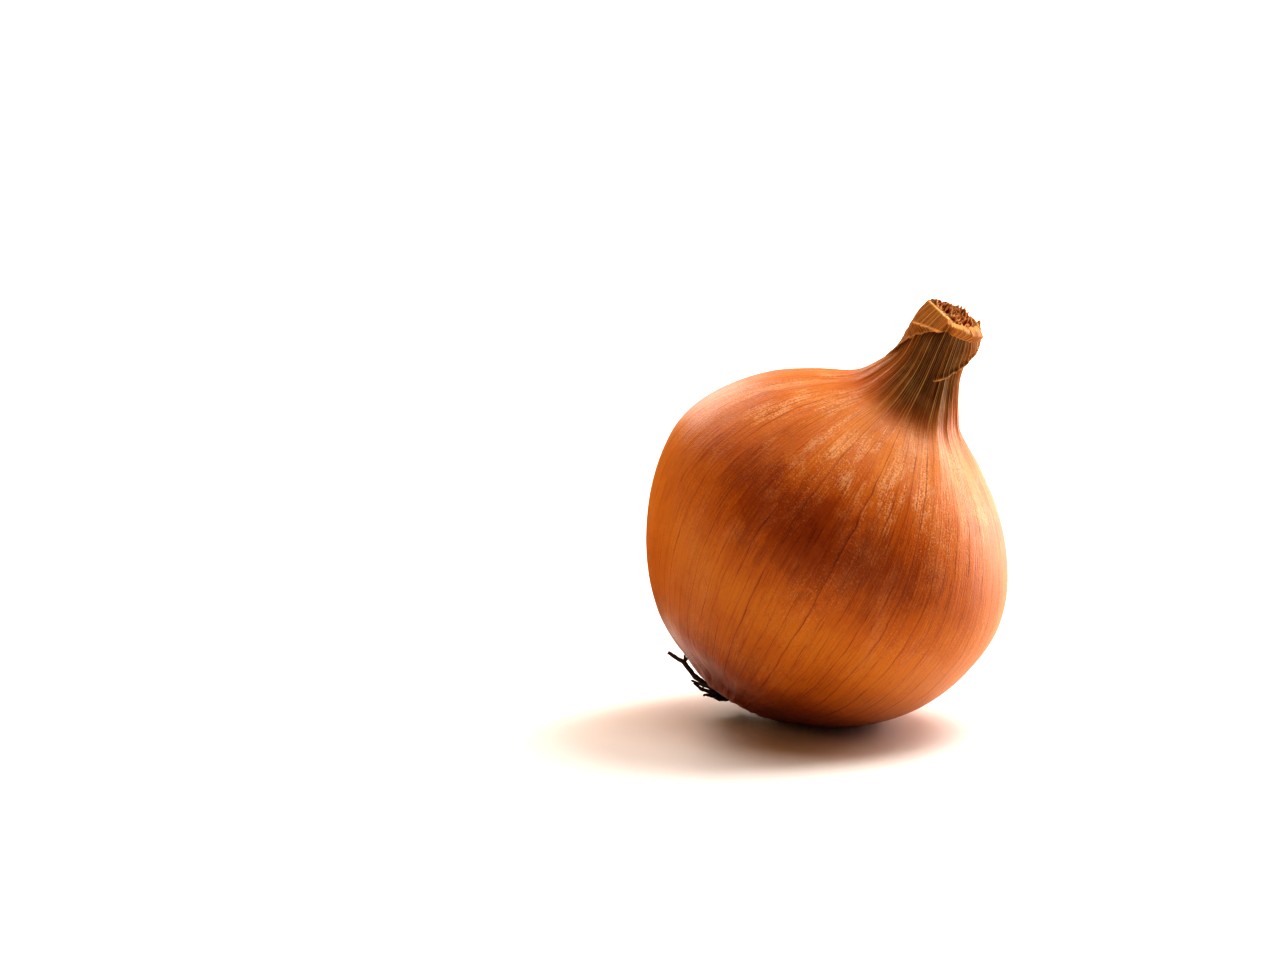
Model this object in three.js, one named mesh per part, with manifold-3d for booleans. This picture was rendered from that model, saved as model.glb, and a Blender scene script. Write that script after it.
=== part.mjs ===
// A brown storage onion, cured and dry: a globe in its tight papery skin, drawn up into a
// ribbed neck that is cut off square, with its root plate and the dried roots on it.
// Millimetres, +Z up. The onion lies as it comes to rest on a table, on a small flat spot
// beside its root plate. The origin is the middle of that spot, and the neck leans to +X.
//
// Each piece is shaped upright, along its own axis from the root end (height 0) to the cut
// neck, in a group that then leans it over. Angles round the axis are in degrees from +X.

import * as THREE from "three";
import { mergeVertices } from "three/addons/utils/BufferGeometryUtils.js";
import Module from "manifold-3d";

const { smoothstep, lerp, degToRad, radToDeg } = THREE.MathUtils;

// Driving dimensions
const lean = 28.5; // degrees from the vertical to the onion's axis
const rootEnd = new THREE.Vector3(-18.0, 0, 3.6); // height 0 of the axis, from the rest spot
const equatorRadius = 39.0;
const equatorHeight = 38.5;
const neckRadius = 6.6;
const cutHeight = 93.2; // the knife cut across the neck
const cutRadius = 5.2;
const cupRadius = 4.6; // the hollow in the neck, round the rolled inner leaves
const cupFloor = 89;
const plateRadius = 6.4; // root plate
const gap = 0.3; // between neighbouring pieces

// Relief of the skin
const segments = 78;
const ribCount = 26;
const ribDepth = 0.24;
const shoulderTilt = 0.05; // the shoulder away from the lean stands higher
const sheathLift = 0.5; // the sheath wrapped round the neck stands this proud of the skin
const neckDrift = [0.35, -0.65]; // how far the neck stands towards +X at its foot and its cut

const wasm = await Module();
wasm.setup();

// A closed geometry as a solid that can be cut and joined.
function solidOf(geometry) {
  const bare = geometry.clone();
  bare.deleteAttribute("normal");
  bare.deleteAttribute("uv");
  const merged = mergeVertices(bare, 1e-4);
  const solid = new wasm.Mesh({
    numProp: 3,
    vertProperties: merged.attributes.position.array,
    triVerts: new Uint32Array(merged.index.array),
  });
  return new wasm.Manifold(solid);
}

function geometryOf(solid) {
  const mesh = solid.getMesh();
  const geometry = new THREE.BufferGeometry();
  geometry.setAttribute("position", new THREE.BufferAttribute(mesh.vertProperties, 3));
  geometry.setIndex(new THREE.BufferAttribute(mesh.triVerts, 1));
  return geometry;
}

// Moves every vertex of a geometry by the rule.
function reshape(geometry, rule) {
  geometry.deleteAttribute("normal");
  geometry.deleteAttribute("uv");
  const merged = mergeVertices(geometry, 1e-4);
  const position = merged.attributes.position;
  const point = new THREE.Vector3();
  for (let i = 0; i < position.count; i++) {
    rule(point.fromBufferAttribute(position, i));
    position.setXYZ(i, point.x, point.y, point.z);
  }
  return merged;
}

// A repeatable draw from 0 to 1 for item i and purpose k.
function draw(i, k) {
  const x = Math.sin(i * 12.9898 + k * 78.233) * 43758.5453;
  return x - Math.floor(x);
}

// The bulb's outline, from the root plate's seat to the cut: radius, height, and the rows of
// faces that lead to the next point.
const outline = [
  [7.0, 2.3, 2],
  [7.9, 1.1, 2],
  [10.5, 1.5, 2],
  [15.0, 3.8, 3],
  [24.5, 9.6, 3],
  [32.0, 18.2, 3],
  [36.8, 28.0, 3],
  [equatorRadius, equatorHeight, 3],
  [38.1, 46.5, 3],
  [34.3, 54.2, 3],
  [28.3, 61.3, 3],
  [20.3, 67.4, 3],
  [13.3, 71.8, 4],
  [9.9, 76.2, 4],
  [7.35, 81.2, 4],
  [neckRadius, 86.2, 3],
  [6.2, 90.0, 3],
  [cutRadius, cutHeight, 0],
];

// The outline as points of radius and height, one for each row.
const rows = [];
{
  const curve = new THREE.SplineCurve(outline.map(([r, h]) => new THREE.Vector2(r, h)));
  const spans = outline.length - 1;
  for (let span = 0; span < spans; span++) {
    const count = outline[span][2];
    for (let row = 0; row < count; row++) rows.push(curve.getPoint((span + row / count) / spans));
  }
  rows.push(curve.getPoint(1));
}

// The outline's radius at a height on the shoulder or the neck.
function skinRadius(height) {
  const i = rows.findIndex((row) => row.x < equatorRadius && row.y > Math.max(height, equatorHeight));
  if (i < 0) return cutRadius;
  return lerp(rows[i - 1].x, rows[i].x, (height - rows[i - 1].y) / (rows[i].y - rows[i - 1].y));
}

// Veins stand up as ribs, deep on the neck and dying out over the shoulder.
function ribs(angle, height) {
  const depth = ribDepth * (0.75 * smoothstep(height, 68, 80) + 0.25 * smoothstep(height, 45, 68));
  return depth * Math.cos(degToRad(ribCount * angle));
}

// Slow swellings keep the globe from being perfectly round, and the sheath's hidden edge
// thickens the front of the neck.
function swelling(angle, height) {
  const body = smoothstep(height, 3, 20) * (1 - smoothstep(height, 60, 76));
  const a = degToRad(angle);
  const wrapped = smoothstep(angle, -112, -72) * (1 - smoothstep(angle, -68, -60));
  const round = 0.35 * Math.cos(2 * a + 1.25) + 0.25 * Math.cos(3 * a + 1.1);
  return body * round + sheathLift * wrapped * smoothstep(height, 74, 82);
}

function driftAt(height) {
  return neckDrift[0] * smoothstep(height, 64, 76) + (neckDrift[1] - neckDrift[0]) * smoothstep(height, 78, 91);
}

// The point at an angle, radius and height, on the onion's own slightly uneven axis.
function settle(point, angle, radius, height) {
  const x = radius * Math.cos(degToRad(angle));
  const y = radius * Math.sin(degToRad(angle));
  const tilt = shoulderTilt * x * Math.exp(-Math.pow((height - 42) / 30, 4));
  point.set(x + driftAt(height), y, height - tilt);
}

// Where the dry layers of the neck end: the collar's lower edge, which slants round the front,
// and the sheath's torn edge under it, which winds up the neck towards the lean.
const collarEdge = (angle) => 92.3 - 11 * Math.pow(Math.max(0, -45 - angle) / 120, 1.7);
const sheathEdge = (angle) => 80.2 + Math.max(0, angle + 66) / 8.3;

// A layer laid on the neck between two edges, its columns in line with the skin's. Its lift
// over the skin depends on the angle and on the share v of the way up. It is rooted inside.
function layer({ first, last, rowsUp, bottom, top, lift }) {
  const grid = new THREE.BoxGeometry(1, 1, 1, last - first, rowsUp, 1);
  return reshape(grid, (p) => {
    const angle = (lerp(first, last, p.x + 0.5) * 360) / segments;
    const v = p.y + 0.5;
    const height = lerp(bottom(angle), top(angle), v);
    const above = p.z > 0 ? lift(angle, v) + ribs(angle, height) : -1;
    settle(p, angle, skinRadius(height) + above, height);
  });
}

const sheath = layer({
  first: -16,
  last: 9,
  rowsUp: 12,
  bottom: sheathEdge,
  top: (angle) => collarEdge(angle) + 0.9,
  lift: (angle, v) => {
    const emerging = smoothstep(angle, -74, -62);
    const flare = smoothstep(angle, -60, 0) * (1 - 0.8 * smoothstep(v, 0.2, 1));
    const ending = smoothstep(angle, 12, 42) * v;
    return sheathLift * (0.4 + 0.8 * emerging) - 0.35 * smoothstep(v, 0.5, 1) + 0.7 * flare - 0.9 * ending;
  },
});

const collar = layer({
  first: -38,
  last: 13,
  rowsUp: 5,
  bottom: collarEdge,
  top: () => cutHeight + 1,
  lift: (angle, v) => {
    const grown = smoothstep(angle, -176, -150) * (1 - smoothstep(angle, -5, 50));
    return -0.4 + grown * (1.15 + 0.45 * smoothstep(angle, -60, -20)) * (1 - 0.4 * v * v);
  },
});

function makeBulb(floor) {
  const seat = new THREE.Vector2(0, rows[0].y + 0.1);
  const lid = new THREE.Vector2(0, cutHeight);
  const globe = new THREE.LatheGeometry([seat, ...rows, lid], segments).rotateX(Math.PI / 2);
  const skin = reshape(globe, (p) => {
    const radius = Math.hypot(p.x, p.y);
    const angle = radToDeg(Math.atan2(p.y, p.x));
    const relief = radius > 0 ? ribs(angle, p.z) + swelling(angle, p.z) : 0;
    settle(p, angle, radius + relief, p.z);
  });
  const knife = new THREE.BoxGeometry(40, 40, 10).translate(0, 0, cutHeight - 0.1 + 5);
  const cup = new THREE.CylinderGeometry(cupRadius + 0.3, cupRadius - 0.2, 10, 40).rotateX(Math.PI / 2);
  cup.translate(neckDrift[1], 0, cupFloor + 5);
  const layered = solidOf(skin).add(solidOf(sheath)).add(solidOf(collar));
  return geometryOf(layered.subtract(solidOf(knife)).subtract(solidOf(cup)).subtract(floor));
}

// The dried inner leaves: one sheet rolled up in the neck, its cut edge ragged.
const leaf = { thickness: 0.5, pitch: 1, outerRadius: 3.75, turns: 3.2, stepsPerTurn: 22 };

function makeNeckLeaves() {
  const steps = Math.round(leaf.turns * leaf.stepsPerTurn);
  const along = (i, side) => {
    const turn = (i / steps) * leaf.turns;
    const angle = turn * 2 * Math.PI - 1.2;
    const wave = 0.1 * Math.sin(5 * angle + 1.5 * turn);
    const radius = leaf.outerRadius - leaf.pitch * turn + wave + (side * leaf.thickness) / 2;
    return new THREE.Vector2(radius * Math.cos(angle), radius * Math.sin(angle));
  };
  const rim = [];
  for (let i = 0; i <= steps; i++) rim.push(along(i, 1));
  for (let i = steps; i >= 0; i--) rim.push(along(i, -1));
  const bottom = cupFloor + gap;
  const depth = cutHeight - bottom - 0.2;
  const roll = new THREE.ExtrudeGeometry(new THREE.Shape(rim), { depth, bevelEnabled: false });
  return reshape(roll, (p) => {
    if (p.z > depth / 2) {
      const angle = Math.atan2(p.y, p.x);
      const radius = Math.hypot(p.x, p.y);
      p.z += 0.35 * Math.sin(3 * angle + 2.4 * radius) + 0.2 * Math.sin(5 * angle - radius);
    }
    p.x += neckDrift[1];
    p.z += bottom;
  });
}

// The longest roots, each from inside the root plate to its tip.
const longRoots = [
  [0.55, [-2, 0.5, 1], [-6.1, 1.2, -1], [-7.8, 1.6, -1.5], [-9.3, 2, -1.7], [-11, 2.2, -1.4], [-12.4, 2.4, -0.7], [-14.1, 2.6, -0.4], [-15.8, 2.8, -0.5], [-18, 3, -0.4]],
  [0.45, [-7.2, 1.5, -1.4], [-9.2, 1.7, -2.1], [-11, 1.9, -2.7]],
  [0.4, [-0.5, -1, 1], [-2.6, -1, -1.7], [-4.5, -0.8, -1.8], [-6.5, -0.4, -2.2], [-8.2, 0, -2.3]],
  [0.4, [-3, 1, 1], [-5.5, 1.1, -0.8], [-7.4, 1.4, -0.4], [-8.8, 1.6, 0.2], [-9.6, 1.7, 0.7]],
  [0.35, [-14, 2.6, -0.4], [-14.4, 2.3, 0.3], [-14.9, 2.1, 1]],
];
const shortRootCount = 16;

// A short root runs out from the plate and lies along the bulb's underside.
function shortRoot(i) {
  const turn = degToRad(95 + 170 * draw(i, 1));
  const start = 1 + 4 * draw(i, 2);
  const reach = 4.5 + 9 * draw(i, 3) * draw(i, 4);
  const curl = 1.1 * (draw(i, 5) - 0.5);
  const droop = 1 + 2.2 * draw(i, 6);
  const points = [];
  for (let k = 0; k <= 5; k++) {
    const t = k / 5;
    const distance = start + reach * Math.pow(t, 1.25);
    const angle = turn + curl * t;
    const rise = 0.55 * Math.max(0, distance - 9);
    const height = k === 0 ? 1.2 : 0.5 + rise - droop * Math.sin(Math.min(1, 1.6 * t) * Math.PI * 0.5);
    points.push([distance * Math.cos(angle), distance * Math.sin(angle), height]);
  }
  return [0.4 + 0.14 * draw(i, 7), ...points];
}

function rootTube([radius, ...points]) {
  const sides = Array.from({ length: 5 }, (_, k) => (k / 5) * 2 * Math.PI);
  const section = new THREE.Shape(sides.map((a) => new THREE.Vector2(radius * Math.cos(a), radius * Math.sin(a))));
  const path = new THREE.CatmullRomCurve3(points.map((p) => new THREE.Vector3(...p)), false, "centripetal");
  return new THREE.ExtrudeGeometry(section, { steps: 2 * points.length, extrudePath: path });
}

function makeRoots() {
  const plateOutline = [
    [0, 0.5],
    [plateRadius * 0.7, 0.4],
    [plateRadius * 0.92, 0.8],
    [plateRadius, 1.3],
    [plateRadius - 0.1, outline[0][1] - gap],
    [0, outline[0][1] - gap],
  ].map(([r, h]) => new THREE.Vector2(r, h));
  const plate = reshape(new THREE.LatheGeometry(plateOutline, 30).rotateX(Math.PI / 2), (p) => {
    if (p.z < 1) p.z += 0.035 * Math.hypot(p.x, p.y) * Math.sin(5 * Math.atan2(p.y, p.x) + p.x);
  });
  let tuft = solidOf(plate);
  const shortRoots = Array.from({ length: shortRootCount }, (_, i) => shortRoot(i));
  for (const root of [...longRoots, ...shortRoots]) tuft = tuft.add(solidOf(rootTube(root)));
  return geometryOf(tuft);
}

// The onion, leaned over on its rest spot
const onion = new THREE.Group();
const leaning = new THREE.Group();
leaning.rotation.y = degToRad(lean);
leaning.position.copy(rootEnd);
leaning.updateMatrix();
onion.add(leaning);

const table = new THREE.BoxGeometry(120, 120, 20).translate(0, 0, -10);
table.applyMatrix4(leaning.matrix.clone().invert());

function addPiece(name, geometry, color, roughness) {
  geometry.computeVertexNormals();
  const mesh = new THREE.Mesh(geometry, new THREE.MeshStandardMaterial({ color, roughness, metalness: 0 }));
  mesh.name = name;
  leaning.add(mesh);
}

addPiece("bulb", makeBulb(solidOf(table)), 0xb9601f, 0.4);
addPiece("neck_leaves", makeNeckLeaves(), 0x8a4a22, 0.8);
addPiece("roots", makeRoots(), 0x2a1a12, 0.9);

export default onion;
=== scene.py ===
import math

import bmesh
import bpy
from mathutils import Matrix, Vector, noise


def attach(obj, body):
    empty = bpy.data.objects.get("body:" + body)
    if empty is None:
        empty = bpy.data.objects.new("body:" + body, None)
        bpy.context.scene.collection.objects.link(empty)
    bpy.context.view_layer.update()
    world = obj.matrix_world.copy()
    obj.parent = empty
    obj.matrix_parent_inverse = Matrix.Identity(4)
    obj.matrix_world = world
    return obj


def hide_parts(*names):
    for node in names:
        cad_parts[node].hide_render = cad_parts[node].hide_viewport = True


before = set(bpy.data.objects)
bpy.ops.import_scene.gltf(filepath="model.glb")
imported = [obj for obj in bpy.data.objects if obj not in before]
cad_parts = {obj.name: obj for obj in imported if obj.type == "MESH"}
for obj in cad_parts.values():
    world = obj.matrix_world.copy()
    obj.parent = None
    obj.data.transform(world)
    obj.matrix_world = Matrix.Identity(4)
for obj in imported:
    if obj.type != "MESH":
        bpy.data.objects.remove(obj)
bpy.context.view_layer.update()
print("frame loaded with", len(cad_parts), "nodes")


# Every piece is shaped upright in millimetres, along the onion's own axis from its root end.
# Then it leans over on its rest spot. Degrees round run from +X towards +Y, and the front is -Y.
growth = {
    "lean": 28.5,  # degrees from upright
    "rootEnd": (-18.0, 0.0, 3.6),  # where the root end comes to lie
    "veins": 48,
    "bunching": ((1.9, 3, 0.4), (1.1, 7, 1.3), (0.7, 13, 2.2)),  # degrees, times round, start
    "uneven": ((0.35, 2, 1.25), (0.25, 3, 1.1)),  # mm out of round, times round, start
    "wrap": 0.5,  # mm thicker where the neck's skin overlaps
    "shoulderTilt": (0.05, 42, 30),  # mm lower for each mm out, round this height, over this reach
    "neckDrift": (0.35, -0.65),  # mm off the axis at the neck's foot and at its top
    "cutHeight": 92.9,  # of the knife cut across the neck, on the axis
    "cutSlope": 8.0,  # degrees the cut falls towards the front
    "outlineSteps": 1600,
    "outline": [  # radius and height
        (7.0, 2.3), (7.9, 1.1), (10.5, 1.5), (15.0, 3.8), (24.5, 9.6), (32.0, 18.2), (36.8, 28.0),
        (39.0, 38.5), (38.1, 46.5), (34.3, 54.2), (28.3, 61.3), (20.3, 67.4), (13.3, 71.8),
        (9.9, 76.2), (7.35, 81.2), (6.6, 86.2), (6.2, 90.0), (5.2, 94.0),
    ],
}
toTable = (
    Matrix.Scale(0.001, 4)
    @ Matrix.Translation(growth["rootEnd"])
    @ Matrix.Rotation(math.radians(growth["lean"]), 4, "Y")
)
tableGap = 0.00002  # metres that every piece keeps above the table


# Rises smoothly from 0 to 1 as x goes from low to high.
def ease(x, low, high):
    t = min(max((x - low) / (high - low), 0.0), 1.0)
    return t * t * (3.0 - 2.0 * t)


# Rises from 0 to 1 between the first two and falls back between the last two.
def hump(x, start, full, fading, gone):
    return ease(x, start, full) * (1 - ease(x, fading, gone))


# A soft ridge, 1 at its middle.
def swell(x, middle, reach):
    return math.exp(-(((x - middle) / reach) ** 2))


def lerp(a, b, t):
    return a + (b - a) * t


# A place on the smooth curve through some points, with t from 0 to 1.
def alongSpline(points, t):
    last = len(points) - 1
    place = last * t
    i = min(int(place), last)
    w = place - i
    before, here = points[max(i - 1, 0)], points[i]
    after, beyond = points[min(i + 1, last)], points[min(i + 2, last)]
    out = []
    for a, b, c, d in zip(before, here, after, beyond):
        v0, v1 = (c - a) / 2, (d - b) / 2
        cubic = (2 * b - 2 * c + v0 + v1) * w**3
        out.append(cubic + (-3 * b + 3 * c - 2 * v0 - v1) * w**2 + v0 * w + b)
    return out


# The outline as close steps: radius, height, length grown so far, and the outward normal.
def traceOutline():
    steps = growth["outlineSteps"]
    trace, grown = [], 0.0
    for k in range(steps + 1):
        r, h = alongSpline(growth["outline"], k / steps)
        if trace:
            grown += math.hypot(r - trace[-1][0], h - trace[-1][1])
        trace.append((r, h, grown))
    out = []
    for k, (r, h, grown) in enumerate(trace):
        a, b = trace[max(k - 1, 0)], trace[min(k + 1, steps)]
        length = math.hypot(b[0] - a[0], b[1] - a[1])
        out.append((r, h, grown, (b[1] - a[1]) / length, -(b[0] - a[0]) / length))
    return out


outline = traceOutline()
shoulderStep = max(range(len(outline)), key=lambda k: outline[k][0])
print("outline traced,", round(outline[-1][2], 1), "mm along the skin")


# The outline at a height above the widest part, between its two nearest steps.
def stepAt(height):
    low, high = shoulderStep, len(outline) - 1
    while low < high:
        middle = (low + high) // 2
        if outline[middle][1] < height:
            low = middle + 1
        else:
            high = middle
    below, above = outline[low - 1], outline[low]
    share = min(max((height - below[1]) / (above[1] - below[1]), 0.0), 1.0)
    return [lerp(a, b, share) for a, b in zip(below, above)]


def driftAt(height):
    foot, cut = growth["neckDrift"]
    return foot * ease(height, 64, 76) + (cut - foot) * ease(height, 78, 91)


# Fibres bunch and spread a little round the onion, as they grow unevenly.
def fibreToAngle(turn):
    degrees = sum(swing * math.sin(times * turn + start) for swing, times, start in growth["bunching"])
    return turn - math.radians(degrees)


# How far the skin stands out of the round outline.
def swelling(angle, height):
    degrees = math.degrees(math.atan2(math.sin(angle), math.cos(angle)))
    uneven = sum(out * math.cos(times * angle + start) for out, times, start in growth["uneven"])
    wrapped = hump(degrees, -112, -72, -68, -60) * ease(height, 74, 82)
    return hump(height, 3, 20, 60, 76) * uneven + growth["wrap"] * wrapped


ridges = {
    "onGlobe": 0.02,  # mm that each vein stands up there
    "onNeck": (0.11, 0.26),  # mm on the neck, and how far one rib differs from the next
    "neck": (66, 80),  # heights between which the ribs rise
    "fine": (107, 0.09),  # finer ribs on the neck: how many round, mm
    "pleats": (0.6, (58, 72, 80, 90)),  # broad folds on the shoulder: mm, heights
    "waves": (0.16, 0.07),  # mm, wide ones and narrow ones
    "puckers": 0.3,  # mm, round the root end
    "hollow": (1.2, (3, 9, 15, 26), (-150, -115, -85, -50)),  # mm flatter, mm grown, degrees round
}


# Height of the relief over the outline. Each vein is a crest, low on the globe and high on the neck.
def relief(turn, step):
    height, grown = step[1], step[2]
    around = Vector((math.cos(turn), math.sin(turn), 0))

    def lumps(tight, stretch, x=0, y=0):
        return noise.noise(around * tight + Vector((x, y, grown / stretch)))

    cycle = growth["veins"] * turn / math.tau
    number = math.floor(cycle)
    crest = 1 - abs(2 * (cycle - number) - 1)  # 1 on the vein, 0 between two
    own = noise.noise(Vector((number * 3.7, 0.5, grown / 14)))
    neck = ease(height, *ridges["neck"])
    shared, varied = ridges["onNeck"]
    ribs = ridges["onGlobe"] * crest**3 + neck * (shared + varied * own) * (crest**4 - 0.2)
    count, high = ridges["fine"]
    fine = 0.5 + 0.5 * math.cos(turn * count + 1.2 * lumps(6, 9))
    ribs += neck * high * (fine**2 - 0.4) * (0.6 + lumps(5, 8, 3))
    depth, heights = ridges["pleats"]
    pleats = lumps(3.1, 30) * depth * hump(height, *heights)
    wide, narrow = ridges["waves"]
    waves = lumps(5.5, 26, 4) * wide + lumps(13, 16, 9, 2) * narrow
    puckers = ridges["puckers"] * (1 - ease(grown, 3, 24)) * ease(grown, 0.5, 3) * lumps(9, 5, 1, 1)
    depth, lengths, side = ridges["hollow"]
    hollow = -depth * hump(grown, *lengths) * hump(math.degrees(turn), *side)
    return ribs + pleats + waves + puckers + hollow


# Puts a point of a radius and height round the onion's slightly uneven axis.
def settle(angle, radius, height):
    x, y = radius * math.cos(angle), radius * math.sin(angle)
    slope, middle, reach = growth["shoulderTilt"]
    tilt = slope * x * math.exp(-(((height - middle) / reach) ** 4))
    return Vector((x + driftAt(height), y, height - tilt))


# One side of the neck's top is folded flat and leans in over the opening, above a rolled crease.
fold = {
    "angle": -122,  # degrees round that it faces
    "height": 88.2,
    "reach": 6.45,  # mm from the axis at that height
    "closing": 0.52,  # mm nearer for each mm up
    "below": 3,  # mm under its height that it still presses
    "crease": (88.3, -132, 0.0285),  # height, at these degrees, mm up for each degree round
}


def creaseAt(degrees):
    height, side, rise = fold["crease"]
    return height + rise * (degrees - side)


# Pushes a point back to the fold's flat side, an inset behind it.
def pressToFold(point, inset=0.0, firmness=1.0):
    facing = math.radians(fold["angle"])
    reach = fold["reach"] - fold["closing"] * (point.z - fold["height"]) - inset
    beyond = point.x * math.cos(facing) + point.y * math.sin(facing) - reach
    if point.z < fold["height"] - fold["below"] or beyond <= 0:
        return point
    back = firmness * beyond
    return point - Vector((math.cos(facing) * back, math.sin(facing) * back, 0))


def cutAt(point):
    return growth["cutHeight"] + point.y * math.tan(math.radians(growth["cutSlope"]))


# How far a torn edge strays. Each tear has its depth in mm, its length along the edge and a seed.
def tornBy(tears, along):
    return sum(depth * noise.noise(Vector((along / length, seed, 0))) for depth, length, seed in tears)


def makeObject(name, bm, material):
    mesh = bpy.data.meshes.new(name)
    bm.to_mesh(mesh)
    bm.free()
    mesh.materials.append(material)
    made = bpy.data.objects.new(name, mesh)
    bpy.context.scene.collection.objects.link(made)
    return made


def finishPiece(name, bm, nodes, material):
    bm.transform(toTable)
    for v in bm.verts:
        v.co.z = max(v.co.z, tableGap)
    piece = makeObject(name, bm, material)
    for face in piece.data.polygons:
        face.use_smooth = True
    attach(piece, "root")
    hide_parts(*nodes)
    print(name, len(piece.data.polygons), "faces")
    return piece


# What the skin's material reads at each corner: the fibre it is on and the length grown, how wide the onion
# is there, and how near a pale torn edge is.
# On the rolled leaves that pale top edge is partly painted highlight.
def skinLayers(bm):
    numbers = bm.verts.layers.float
    return bm.verts.layers.float_vector.new("fibre"), numbers.new("girth"), numbers.new("torn")


def markSkin(v, layers, turn, grown, radius, edge=0.0):
    fibre, girth, torn = layers
    v[fibre] = (math.cos(turn), math.sin(turn), grown)
    v[girth] = radius
    v[torn] = edge


# A sheet of so many faces across and up. The rule turns its own u and v, from 0 to 1, into a
# corner's place and marks.
def laySheet(bm, size, rule):
    layers = skinLayers(bm)
    for v in bmesh.ops.create_grid(bm, x_segments=size[0], y_segments=size[1], size=0.5)["verts"]:
        place, *marks = rule(v.co.x + 0.5, v.co.y + 0.5)
        v.co = place
        markSkin(v, layers, *marks)


# A closed shell spun from radii and heights. Its layer keeps which of them a corner came from.
def spinProfile(bm, profile, columns):
    row = bm.verts.layers.float.new("row")
    verts = [bm.verts.new((r, 0, h)) for r, h in profile]
    for k, v in enumerate(verts):
        v[row] = k
    edges = [bm.edges.new(pair) for pair in zip(verts, verts[1:])]
    bmesh.ops.spin(bm, geom=verts + edges, axis=(0, 0, 1), cent=(0, 0, 0), steps=columns,
                   angle=math.tau, use_merge=True)
    bmesh.ops.remove_doubles(bm, verts=bm.verts[:], dist=0.0005)
    bmesh.ops.recalc_face_normals(bm, faces=bm.faces[:])
    return row


def thicken(piece, thickness, offset=-1.0):
    wall = piece.modifiers.new("wall", "SOLIDIFY")
    wall.thickness = thickness / 1000
    wall.offset = offset
    wall.use_even_offset = False


# A material's node tree, with short calls for the nodes that dry skin and roots need.
class Finish:
    def __init__(self, name):
        self.material = bpy.data.materials.new(name)
        self.material.use_nodes = True
        self.tree = self.material.node_tree
        self.tree.nodes.clear()
        self.shader = self.add("BsdfPrincipled")
        self.add("OutputMaterial", {"Surface": self.shader.outputs["BSDF"]})

    def add(self, kind, inputs=None, **settings):
        node = self.tree.nodes.new("ShaderNode" + kind)
        for key, value in settings.items():
            setattr(node, key, value)
        for key, value in (inputs or {}).items():
            self.put(node.inputs[key], value)
        return node

    def put(self, socket, value):
        if isinstance(value, bpy.types.NodeSocket):
            self.tree.links.new(value, socket)
        else:
            socket.default_value = value

    def dress(self, inputs):
        for key, value in inputs.items():
            self.put(self.shader.inputs[key], value)

    def maths(self, operation, a, b=0.0, clamp=False):
        return self.add("Math", {0: a, 1: b}, operation=operation, use_clamp=clamp).outputs[0]

    def plus(self, a, b):
        return self.maths("ADD", a, b)

    def less(self, a, b):
        return self.maths("SUBTRACT", a, b)

    def times(self, a, b):
        return self.maths("MULTIPLY", a, b)

    def most(self, a, b):
        return self.maths("MAXIMUM", a, b)

    def apart(self, a, b):
        return self.maths("ABSOLUTE", self.less(a, b))

    def fraction(self, value):
        return self.maths("FRACT", value)

    # adds a noise's ups and downs to a value
    def vary(self, value, part, share):
        return self.plus(value, self.times(self.less(part, 0.5), share))

    def ramp(self, value, low, high, fromValue=0.0, toValue=1.0):
        inputs = {"Value": value, "From Min": low, "From Max": high, "To Min": fromValue, "To Max": toValue}
        return self.add("MapRange", inputs, interpolation_type="SMOOTHSTEP").outputs["Result"]

    def mix(self, share, a, b):
        node = self.add("Mix", data_type="RGBA")
        for socket, value in ((0, share), (6, a), (7, b)):  # 6 and 7 are its colours
            self.put(node.inputs[socket], value)
        return node.outputs[2]

    def stops(self, value, colours):
        node = self.add("ValToRGB", {"Fac": value})
        node.color_ramp.interpolation = "EASE"
        marks = node.color_ramp.elements
        while len(marks) < len(colours):
            marks.new(0.5)
        for mark, (place, colour) in zip(marks, colours):
            mark.position = place
            mark.color = colour
        return node.outputs["Color"]

    def noise(self, vector, scale, detail=2.0, roughness=0.5):
        inputs = {"Vector": vector, "Scale": scale, "Detail": detail, "Roughness": roughness}
        return self.add("TexNoise", inputs).outputs["Fac"]

    def pick(self, number):
        number = self.maths("FLOOR", number)
        return self.add("TexWhiteNoise", {"W": number}, noise_dimensions="1D").outputs["Value"]

    def attribute(self, name, kind="Fac"):
        return self.add("Attribute", attribute_name=name).outputs[kind]

    def place(self):
        return self.add("TexCoord").outputs["Object"]

    # each height has its depth in mm
    def bumps(self, heights):
        normal = None
        for height, depth in heights:
            node = self.add("Bump", {"Height": height, "Distance": depth / 1000, "Strength": 1.0})
            if normal:
                self.put(node.inputs["Normal"], normal)
            normal = node.outputs["Normal"]
        return normal


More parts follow.
